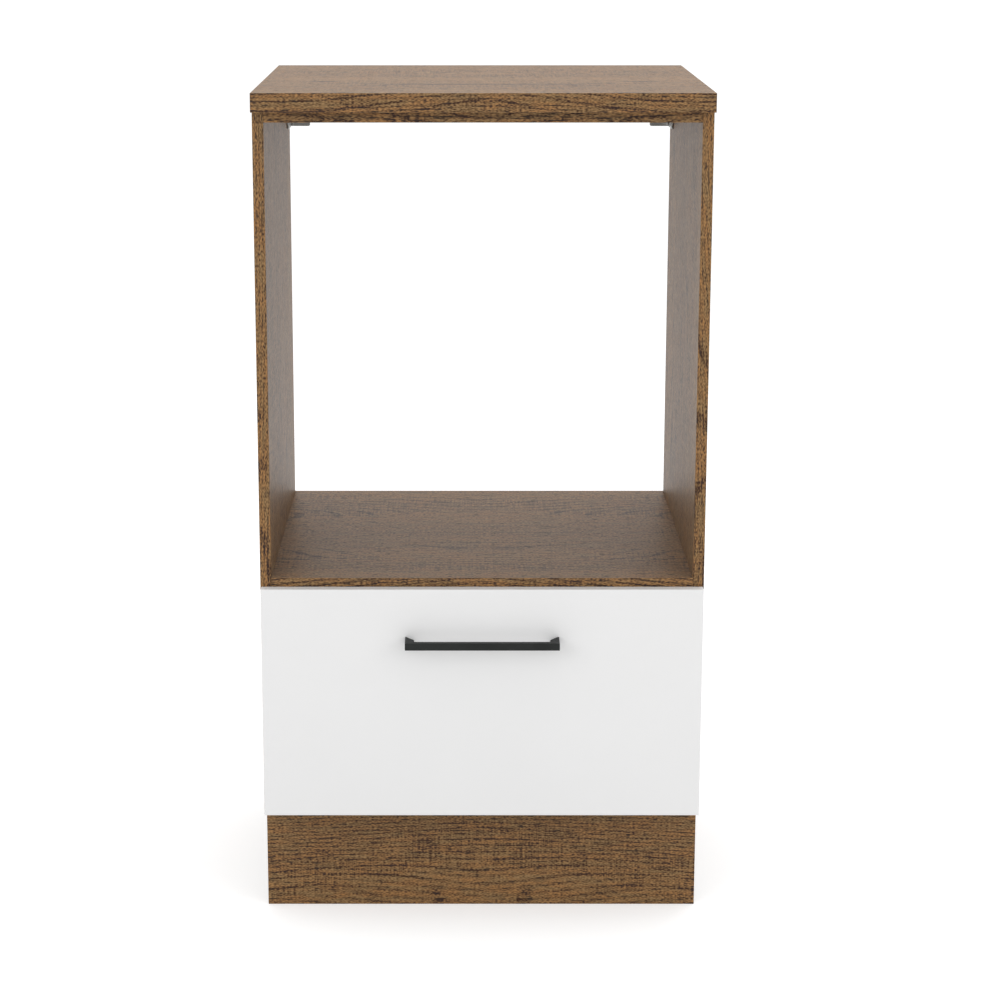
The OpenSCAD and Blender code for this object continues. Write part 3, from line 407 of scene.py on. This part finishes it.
bands = noise(tree, mirrored, (0.8, 12.0, 1.0))
clouds = noise(tree, mirrored, (12.0, 34.0, 1.0), detail=1.0)
speckle = noise(tree, plain, (260.0, 760.0, 1.0), detail=0.0)
weights = (
    (bands, 0.34),
    (lines, 0.22),
    (arcs, 0.58),
    (centred(clouds), 0.10),
    (centred(fibres), 0.55),
    (centred(speckle), 1.75),
    (weave, 0.32),
    (knots, 0.16),
)
tone = BASE_TONE
for mask, weight in weights:
    tone = maths(tree, "MULTIPLY_ADD", mask, weight, tone)
tone.node.use_clamp = True

tint = ramp(tree, noise(tree, plain, (16.0, 90.0, 1.0), detail=3.0, rough=0.7), 0.36, 0.64)
light_ink = mix_colour(tree, tint, WARM_LIGHT, OLIVE_LIGHT)
dark_ink = mix_colour(tree, tint, MAUVE_DARK, WARM_DARK)
wood = mix_colour(tree, tone, light_ink, dark_ink)
wood = mix_colour(tree, maths(tree, "MULTIPLY", pores, PORE_COVER), wood, PORE_INK)
tree.links.new(wood, result["Colour"])
tree.links.new(pores, result["Pores"])
print("the tone adds up", len(weights), "masks")

# %% [markdown]
# ## Printed oak: relief
# The sheet is embossed a little: its fibres stand up, its threads and pores lie deeper. The masks of the
# print are used for that too, so that each pore is sunk just where it is dark.

# %% Relief
relief = maths(tree, "MULTIPLY_ADD", fibres, 0.4, 0.6)
relief = maths(tree, "MULTIPLY_ADD", weave, -0.35, relief)
relief = maths(tree, "MULTIPLY_ADD", pores, -0.7, relief)
tree.links.new(relief, result["Relief"])
print("the finished print has", len(tree.nodes), "nodes")

# %% [markdown]
# ## Chipboard core
# Under the sheet lies chipboard: pressed wood flakes in many browns. It shows on edges that get no strip,
# such as those at the back, and inside drilled holes. Voronoi cells make good flakes, each with a brown of
# its own, and noise bends their straight borders. A few cells are dark flecks of bark.


# %% Chipboard flakes
def colour(red, green, blue):
    """A colour as the screen shows it, 0 to 255, as the linear value that shaders use."""
    shares = [part / 255 for part in (red, green, blue)]
    return (*[s / 12.92 if s <= 0.04045 else ((s + 0.055) / 1.055) ** 2.4 for s in shares], 1.0)


PALE_FLAKE, BROWN_FLAKE, BARK = colour(206, 172, 124), colour(146, 108, 66), colour(70, 48, 32)
FLAKES_PER_METRE = 520.0
FLAKE_BEND = 0.004
BARK_FROM, BARK_COVER = 0.93, 0.6

tree, given, result = new_group(
    "chipboard", [("Place", "Vector")], [("Colour", "Color"), ("Relief", "Float")]
)
CHIPBOARD = tree
bend = noise(tree, given["Place"], (90.0, 90.0, 90.0))
bend_every_way = place_node(tree, "ShaderNodeCombineXYZ", {0: bend, 1: bend, 2: bend}).outputs[0]
bent = vectors(tree, "MULTIPLY_ADD", bend_every_way, (FLAKE_BEND,) * 3, given["Place"])
flakes = place_node(tree, "ShaderNodeTexVoronoi", {"Vector": bent, "Scale": FLAKES_PER_METRE})
flake_tone = axes_of(tree, flakes.outputs["Color"])[0]
core = mix_colour(tree, flake_tone, PALE_FLAKE, BROWN_FLAKE)
bark = maths(tree, "GREATER_THAN", flake_tone, BARK_FROM)
core = mix_colour(tree, maths(tree, "MULTIPLY", bark, BARK_COVER), core, BARK)
tree.links.new(core, result["Colour"])
tree.links.new(flake_tone, result["Relief"])
print("flakes of about", round(1000 / FLAKES_PER_METRE, 1), "mm")

# %% [markdown]
# ## Where a sheet ends
# A board's material has to know where the sheet ends and the bare core begins. This group gives 1 where a
# point lies within a sheet's thickness of one of the board's outer faces, if that face has a sheet. Flags of
# 0 and 1 name the faces: one vector for those at the board's lowest corner, one for those at its highest. A
# hole that is drilled through the sheet then shows core, which a choice by direction alone would get wrong.

# %% Covered faces
SHEET_THICKNESS = 0.0006

tree, given, result = new_group(
    "covered faces",
    [(label, "Vector") for label in ("Place", "Lowest corner", "Highest corner", "Low faces", "High faces")],
    [("Covered", "Float")],
)
COVERED_FACES = tree
covered = None
for first, second, faces in (
    ("Place", "Lowest corner", "Low faces"),
    ("Highest corner", "Place", "High faces"),
):
    depths = axes_of(tree, vectors(tree, "SUBTRACT", given[first], given[second]))
    has_sheet = axes_of(tree, given[faces])
    for axis in range(3):
        within = maths(tree, "LESS_THAN", depths[axis], SHEET_THICKNESS)
        near = maths(tree, "MULTIPLY", within, has_sheet[axis])
        covered = near if covered is None else maths(tree, "MAXIMUM", covered, near)
tree.links.new(covered, result["Covered"])
print("groups:", ", ".join(group.name for group in bpy.data.node_groups))

# %% [markdown]
# ## What each finish needs
# A few steps come back in the cabinet's materials: a group is placed in them, a mask raises or sinks the
# surface, and the finished material goes on its pieces. A board's box, which the mask of its covered faces
# needs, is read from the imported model, so that it stays right when the model changes.


# %% Helpers for materials
def use_group(tree, group, inputs):
    """Place a node group in a material and return its outputs."""
    return place_node(tree, "ShaderNodeGroup", inputs, node_tree=group).outputs


def cover_mask(tree, place, name, low_faces, high_faces):
    """The mask of covered faces of one board, from its box in the model."""
    low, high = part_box(name)
    inputs = {
        "Place": place["Object"],
        "Lowest corner": tuple(low),
        "Highest corner": tuple(high),
        "Low faces": low_faces,
        "High faces": high_faces,
    }
    return use_group(tree, COVERED_FACES, inputs)["Covered"]


def add_bump(tree, shader, height, distance):
    """Let a mask raise or sink the surface by at most that distance."""
    made = place_node(tree, "ShaderNodeBump", {"Height": height, "Distance": distance, "Strength": 1.0})
    tree.links.new(made.outputs[0], shader.inputs["Normal"])


def dress(material, names):
    """Give the named CAD pieces this material."""
    for name in names:
        for slot in nodes[name].material_slots:
            slot.material = material
    print(material.name, "on", ", ".join(names))


# %% [markdown]
# ## The oak boards
# Each board takes the print along its own length: upright on the sides, level on worktop, shelf, rails and
# plinth. The visible edges carry a strip of the same print. The print is slightly satin, so that it mirrors
# the white room softly where one looks along it, as on the niche's inner walls, and the shelf has a little
# more shine. The boards differ in a few values only, so one function dresses them all. The flags say which
# faces are covered, in the order x, y, z.

# %% Oak boards
EVERY_FACE = (1, 1, 1)
CORE_ROUGHNESS = 0.9
PRINT_ROUGHNESS, PORE_ROUGHNESS = 0.45, 0.10
PRINT_RELIEF = 0.00006


def oak_board(name, upright, sheet, low_faces, high_faces, shine=0.22):
    """Dress one board in the oak print, with bare core on the faces that have no sheet."""
    material, tree, shader, place = new_material("oak " + name)
    inputs = {"Place": place["Object"], "Facing": place["Normal"], "Upright": upright, "Sheet": sheet}
    oak = use_group(tree, OAK_PRINT, inputs)
    core = use_group(tree, CHIPBOARD, {"Place": place["Object"]})
    covered = cover_mask(tree, place, name, low_faces, high_faces)
    feed(tree, shader.inputs["Base Color"], mix_colour(tree, covered, core["Colour"], oak["Colour"]))
    satin = maths(tree, "MULTIPLY_ADD", oak["Pores"], PORE_ROUGHNESS, PRINT_ROUGHNESS)
    feed(tree, shader.inputs["Roughness"], mix_number(tree, covered, CORE_ROUGHNESS, satin))
    shader.inputs["Specular IOR Level"].default_value = shine
    add_bump(tree, shader, mix_number(tree, covered, core["Relief"], oak["Relief"]), PRINT_RELIEF)
    dress(material, (name,))


oak_board("worktop", 0, 11.0, EVERY_FACE, EVERY_FACE)
for name, sheet in (("side_left", 23.0), ("side_right", 31.0)):
    oak_board(name, 1, sheet, (1, 1, 0), (1, 0, 0))
for name, sheet in (("top_rail_front", 43.5), ("top_rail_rear", 47.0), ("bottom_panel", 61.0)):
    oak_board(name, 0, sheet, (0, 1, 1), (0, 0, 1))
oak_board("oven_shelf", 0, 53.0, (0, 1, 1), (0, 0, 1), shine=0.29)
oak_board("plinth_board", 0, 71.0, (1, 1, 0), (1, 1, 1))

# %% [markdown]
# ## White boards
# The drawer front is chipboard with a smooth white sheet and white strips all round. The drawer box is the
# plainer white board of kitchen carcasses, with a fine pearl texture, and bare edges below and behind. No
# white sheet is quite even, so a cloudy mask darkens it by up to three hundredths.

# %% White front and drawer box
FRONT_FINISH = {"white": (0.81, 0.81, 0.81), "pearls_per_metre": 260.0, "depth": 0.00003, "rough": 0.38}
BOX_FINISH = {"white": (0.80, 0.80, 0.79), "pearls_per_metre": 900.0, "depth": 0.00006, "rough": 0.46}
CLOUDED = 0.97


def white_board(name, low_faces, high_faces, white, pearls_per_metre, depth, rough):
    """Dress one board in a white sheet over the same core."""
    material, tree, shader, place = new_material("white " + name)
    core = use_group(tree, CHIPBOARD, {"Place": place["Object"]})
    covered = cover_mask(tree, place, name, low_faces, high_faces)
    pearl = noise(tree, place["Object"], (pearls_per_metre,) * 3, detail=1.5)
    cloud = noise(tree, place["Object"], (6.0, 6.0, 6.0))
    clouded_white = [CLOUDED * part for part in white]
    sheet = mix_colour(tree, cloud, (*white, 1), (*clouded_white, 1))
    feed(tree, shader.inputs["Base Color"], mix_colour(tree, covered, core["Colour"], sheet))
    satin = ramp(tree, pearl, 0.3, 0.7, rough - 0.04, rough + 0.06)
    feed(tree, shader.inputs["Roughness"], mix_number(tree, covered, CORE_ROUGHNESS, satin))
    add_bump(tree, shader, mix_number(tree, covered, core["Relief"], pearl), depth)
    dress(material, (name,))


white_board("drawer_front", EVERY_FACE, EVERY_FACE, **FRONT_FINISH)
for name in ("drawer_side_left", "drawer_side_right"):
    white_board(name, (1, 1, 0), (1, 0, 1), **BOX_FINISH)
white_board("drawer_back", (0, 1, 0), (0, 1, 1), **BOX_FINISH)

# %% [markdown]
# ## Hardboard
# The back and the drawer bottom are thin hardboard: white lacquer on the inner side, bare brown fibre on the
# outer one, with the mesh pattern of the press. A wave along each of the board's two directions makes the
# mesh, and three sizes of noise make the fibre: clouds, flock and single pale fibres.

# %% Hardboard
LACQUER = (0.78, 0.78, 0.77, 1)
FLOCK, DARK_FLOCK, CLOUD_BROWN = colour(144, 112, 78), colour(112, 82, 54), colour(104, 76, 50)
PALE_FIBRE, MESH_BROWN = colour(182, 150, 110), colour(60, 40, 25)
MESH_SCALE = 130.0
HARDBOARD_RELIEF = 0.00008


def pressed_mesh(tree, place, thin_axis):
    """The print of the press's wire mesh, from waves along the two directions of the board."""
    mesh = None
    for direction in "XYZ".replace(thin_axis, ""):
        inputs = {"Vector": place["Object"], "Scale": MESH_SCALE, "Distortion": 0.6}
        wires = place_node(tree, "ShaderNodeTexWave", inputs, bands_direction=direction).outputs[1]
        mesh = wires if mesh is None else maths(tree, "MULTIPLY", mesh, wires)
    return mesh


def hardboard(name, thin_axis, white_sign):
    """White on one face, brown fibre with a pressed mesh on the rest."""
    material, tree, shader, place = new_material("hardboard " + name)
    facing = axes_of(tree, place["Normal"])["XYZ".index(thin_axis)]
    facing_white = maths(tree, "MULTIPLY", facing, white_sign)
    lacquered = maths(tree, "GREATER_THAN", facing_white, HALFWAY_TURNED)
    mesh = pressed_mesh(tree, place, thin_axis)
    fibre = noise(tree, place["Object"], (700.0, 700.0, 700.0), detail=3.0)
    flock = noise(tree, place["Object"], (150.0, 150.0, 150.0), detail=4.0, rough=0.7)
    cloud = noise(tree, place["Object"], (11.0, 11.0, 11.0), detail=4.0, rough=0.6)
    brown = mix_colour(tree, ramp(tree, flock, 0.34, 0.66), FLOCK, DARK_FLOCK)
    brown = mix_colour(tree, ramp(tree, cloud, 0.35, 0.68, to_high=0.35), brown, CLOUD_BROWN)
    brown = mix_colour(tree, ramp(tree, fibre, 0.56, 0.66, to_high=0.5), brown, PALE_FIBRE)
    brown = mix_colour(tree, maths(tree, "MULTIPLY", mesh, 0.30), brown, MESH_BROWN)
    feed(tree, shader.inputs["Base Color"], mix_colour(tree, lacquered, brown, LACQUER))
    gloss = maths(tree, "MULTIPLY_ADD", fibre, 0.1, lacquered)
    feed(tree, shader.inputs["Roughness"], ramp(tree, gloss, 0.0, 1.0, to_low=0.72, to_high=0.42))
    height = mix_number(tree, lacquered, maths(tree, "ADD", mesh, fibre), fibre)
    add_bump(tree, shader, height, HARDBOARD_RELIEF)
    dress(material, (name,))


hardboard("back_panel", "Y", -1)
hardboard("drawer_bottom", "Z", 1)

# %% [markdown]
# ## Metal
# The runners, brackets and screws are zinc-plated steel, dull silver with a slight cloudiness from the
# plating bath and fine lines from rolling. The cam locks are die-cast zinc, greyer and rougher. The balls are
# polished. Brightness and roughness share one cloudy mask, because a spot where plating is dull is also
# rougher.


# %% Metals
def metal(name, names, bright, dull, rough, lines, depth):
    """A metal with cloudy brightness, fine lines in one direction and matching roughness."""
    material, tree, shader, place = new_material(name)
    cloud = noise(tree, place["Object"], (45.0, 45.0, 45.0), detail=4.0, rough=0.6)
    line = noise(tree, place["Object"], lines)
    brightness = mix_colour(tree, ramp(tree, cloud, 0.35, 0.68), (*bright, 1), (*dull, 1))
    feed(tree, shader.inputs["Base Color"], brightness)
    wear = maths(tree, "ADD", maths(tree, "MULTIPLY", cloud, 0.6), maths(tree, "MULTIPLY", line, 0.4))
    feed(tree, shader.inputs["Roughness"], ramp(tree, wear, 0.3, 0.7, rough - 0.08, rough + 0.10))
    shader.inputs["Metallic"].default_value = 1.0
    add_bump(tree, shader, line, depth)
    dress(material, names)


def pairs(*starts):
    """The names of pieces that come as a left and a right one."""
    return [start + side for start in starts for side in ("_left", "_right")]


BRACKETS = pairs("wall_bracket")
SCREWS = [name for name in nodes if name.endswith("_screws")]

metal("zinc-plated steel", pairs("runner_outer", "runner_middle", "runner_inner"), rough=0.36,
      bright=(0.44, 0.45, 0.45), dull=(0.38, 0.385, 0.38), lines=(700.0, 12.0, 700.0), depth=0.00002)
metal("pressed bracket steel", BRACKETS, rough=0.38,
      bright=(0.36, 0.36, 0.35), dull=(0.26, 0.26, 0.25), lines=(500.0, 500.0, 20.0), depth=0.00003)
metal("cage steel", pairs("outer_cage", "inner_cage"), rough=0.42,
      bright=(0.42, 0.42, 0.40), dull=(0.30, 0.30, 0.28), lines=(500.0, 20.0, 500.0), depth=0.00002)
metal("polished ball steel", pairs("outer_balls", "inner_balls"), rough=0.12,
      bright=(0.66, 0.66, 0.66), dull=(0.60, 0.60, 0.60), lines=(90.0, 90.0, 90.0), depth=0.000001)
metal("die-cast zinc", ("cam_locks", "drawer_cam_locks"), rough=0.48,
      bright=(0.38, 0.38, 0.38), dull=(0.25, 0.25, 0.25), lines=(300.0, 300.0, 300.0), depth=0.00004)
metal("bolt steel", ("cam_bolts", "drawer_cam_bolts"), rough=0.34,
      bright=(0.50, 0.49, 0.45), dull=(0.36, 0.35, 0.32), lines=(400.0, 400.0, 400.0), depth=0.00002)
metal("screw steel", SCREWS, rough=0.32,
      bright=(0.52, 0.52, 0.50), dull=(0.38, 0.38, 0.36), lines=(600.0, 600.0, 600.0), depth=0.00002)

# %% [markdown]
# ## Black handle and black plastic
# The handle is a metal bar with a matt black powder coat, which dries with a fine orange-peel skin. The legs
# and clips are moulded from black plastic: the mould's fine grain makes them a little greyer where light
# grazes them. Both are a dark skin with grain, so they share a function.

# %% Handle and plastic
PLASTIC_PARTS = ("leg_feet", "leg_posts", "leg_sockets", "plinth_clips")


def coated(name, names, dark, light, shine, grain, depth):
    """A dark skin with fine grain, slightly uneven in colour and gloss."""
    material, tree, shader, place = new_material(name)
    skin = noise(tree, place["Object"], (grain,) * 3)
    cloud = noise(tree, place["Object"], (35.0, 35.0, 35.0), detail=3.0)
    tone = mix_colour(tree, ramp(tree, cloud, 0.3, 0.7), (*dark, 1), (*light, 1))
    feed(tree, shader.inputs["Base Color"], tone)
    feed(tree, shader.inputs["Roughness"], ramp(tree, skin, 0.3, 0.7, to_low=0.44, to_high=0.58))
    shader.inputs["Specular IOR Level"].default_value = shine
    add_bump(tree, shader, skin, depth)
    dress(material, names)
    return material


coated("black powder coat", ("handle",),
       dark=(0.012, 0.0134, 0.0126), light=(0.018, 0.0198, 0.0188), shine=0.18, grain=1400.0, depth=0.00004)
black_plastic = coated("black moulded plastic", PLASTIC_PARTS,
                       dark=(0.014, 0.014, 0.015), light=(0.022, 0.022, 0.023),
                       shine=0.32, grain=2200.0, depth=0.00005)

# %% [markdown]
# ## Threads of the feet
# Each foot carries a spindle with a coarse moulded thread, and turning the foot levels the cabinet. A few
# turns of the thread show between foot and post. Stacked rings would look much the same, but a real thread
# climbs, so the outline of one ridge is spun around the spindle while it rises by one pitch in each turn. The
# outline has two corners at the root, just inside the spindle, and two at the narrower crest. At last the
# ends of each ridge are closed.

# %% Foot threads
FOOT_RADIUS = 0.029
ROOT_RADIUS, CREST_RADIUS = 0.0097, 0.0111
ROOT_WIDTH, CREST_WIDTH = 0.0022, 0.0009
THREAD_PITCH = 0.003
THREAD_START = 0.0095
THREAD_TURNS, STEPS_PER_TURN = 3, 40


def add_thread(shape, foot_x, foot_y):
    """Spin one ridge around the upright axis at this place, rising by one pitch in each turn."""
    outline = (
        (ROOT_RADIUS, -ROOT_WIDTH / 2),
        (CREST_RADIUS, -CREST_WIDTH / 2),
        (CREST_RADIUS, CREST_WIDTH / 2),
        (ROOT_RADIUS, ROOT_WIDTH / 2),
    )
    corners = [shape.verts.new((foot_x + out, foot_y, THREAD_START + up)) for out, up in outline]
    ridge = [shape.edges.new((corners[i], corners[(i + 1) % 4])) for i in range(4)]
    bmesh.ops.spin(
        shape,
        geom=corners + ridge,
        cent=(foot_x, foot_y, 0),
        axis=(0, 0, 1),
        dvec=(0, 0, THREAD_PITCH / STEPS_PER_TURN),
        angle=2 * math.pi * THREAD_TURNS,
        steps=THREAD_TURNS * STEPS_PER_TURN,
    )


feet_low, feet_high = (Vector(corner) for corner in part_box("leg_feet"))
thread_shape = bmesh.new()
for foot_x in (feet_low.x + FOOT_RADIUS, feet_high.x - FOOT_RADIUS):
    for foot_y in (feet_low.y + FOOT_RADIUS, feet_high.y - FOOT_RADIUS):
        add_thread(thread_shape, foot_x, foot_y)
open_ends = [edge for edge in thread_shape.edges if edge.is_boundary]
bmesh.ops.holes_fill(thread_shape, edges=open_ends, sides=4)
bmesh.ops.recalc_face_normals(thread_shape, faces=thread_shape.faces)
threads = new_object("foot_threads", thread_shape)
threads.data.materials.append(black_plastic)
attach(threads, "cabinet")
heights = [vertex.co.z for vertex in threads.data.vertices]
print("threads from", round(min(heights), 4), "to", round(max(heights), 4), "m above the floor")

# %% [markdown]
# ## Beech dowels
# The dowels are turned beech, pale with short darker flecks along the rod. The noise is stretched along x,
# the way in which the dowels of rails, shelf and bottom lie. The few in the drawer lie the other way, but
# closed joints hide all dowels, so they share the material.

# %% Dowels
material, tree, shader, place = new_material("turned beech")
fleck = noise(tree, place["Object"], (220.0, 1400.0, 1400.0), detail=1.0)
cloud = noise(tree, place["Object"], (60.0, 240.0, 240.0), detail=3.0)
beech = mix_colour(tree, cloud, colour(214, 172, 122), colour(188, 142, 94))
beech = mix_colour(tree, ramp(tree, fleck, 0.62, 0.70, to_high=0.6), beech, colour(140, 92, 56))
feed(tree, shader.inputs["Base Color"], beech)
feed(tree, shader.inputs["Roughness"], ramp(tree, cloud, 0.3, 0.7, to_low=0.55, to_high=0.7))
add_bump(tree, shader, fleck, distance=0.00005)
dress(material, ("dowels", "drawer_dowels"))

# %% [markdown]
# ## Clear bumpers
# The bumpers behind the drawer front are clear rubber dots, so they let light through and blur it: a shader
# with transmission and some roughness. A quarter of plain colour keeps the thin dots visible on white.

# %% Bumpers
material, tree, shader, place = new_material("clear rubber")
cloud = noise(tree, place["Object"], (400.0, 400.0, 400.0))
rubber = mix_colour(tree, cloud, (0.86, 0.88, 0.87, 1), (0.72, 0.75, 0.73, 1))
feed(tree, shader.inputs["Base Color"], rubber)
feed(tree, shader.inputs["Roughness"], ramp(tree, cloud, 0.3, 0.7, to_low=0.22, to_high=0.36))
shader.inputs["Transmission Weight"].default_value = 0.75
shader.inputs["IOR"].default_value = 1.45
add_bump(tree, shader, cloud, distance=0.00002)
dress(material, ("front_bumpers",))

# %% [markdown]
# ## Softened edges
# No real edge is perfectly sharp: edge strips are scraped to a small radius, sheet metal is rolled and
# plastic leaves its mould rounded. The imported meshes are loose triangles, so a Weld joins them, a planar
# Decimate turns each flat face into one, and a narrow Bevel rounds the sharp edges. The mesh itself stays as
# it is.

# %% Rounded edges
WELD_DISTANCE = 0.00001
SAME_FACE_ANGLE = math.radians(0.5)
SHARP_ANGLE = math.radians(50)


def soften(radius, names, segments=2):
    """Round the sharp edges of CAD pieces with modifiers alone."""
    for name in names:
        piece = nodes[name]
        weld = piece.modifiers.new("weld", "WELD")
        weld.merge_threshold = WELD_DISTANCE
        flatten = piece.modifiers.new("one face each", "DECIMATE")
        flatten.decimate_type, flatten.angle_limit = "DISSOLVE", SAME_FACE_ANGLE
        bevel = piece.modifiers.new("soft edge", "BEVEL")
        bevel.width, bevel.segments = radius, segments
        bevel.limit_method, bevel.angle_limit = "ANGLE", SHARP_ANGLE
        bevel.use_clamp_overlap, bevel.harden_normals = False, True
    print("edges rounded by", round(1000 * radius, 1), "mm on", ", ".join(names))


soften(0.0005, ("worktop", "side_left", "side_right", "top_rail_front", "top_rail_rear"))
soften(0.0005, ("oven_shelf", "plinth_board"))
soften(0.0008, ("drawer_front",), segments=3)
soften(0.0004, ("drawer_side_left", "drawer_side_right", "drawer_back"))
soften(0.0006, ("handle", *BRACKETS, *PLASTIC_PARTS))
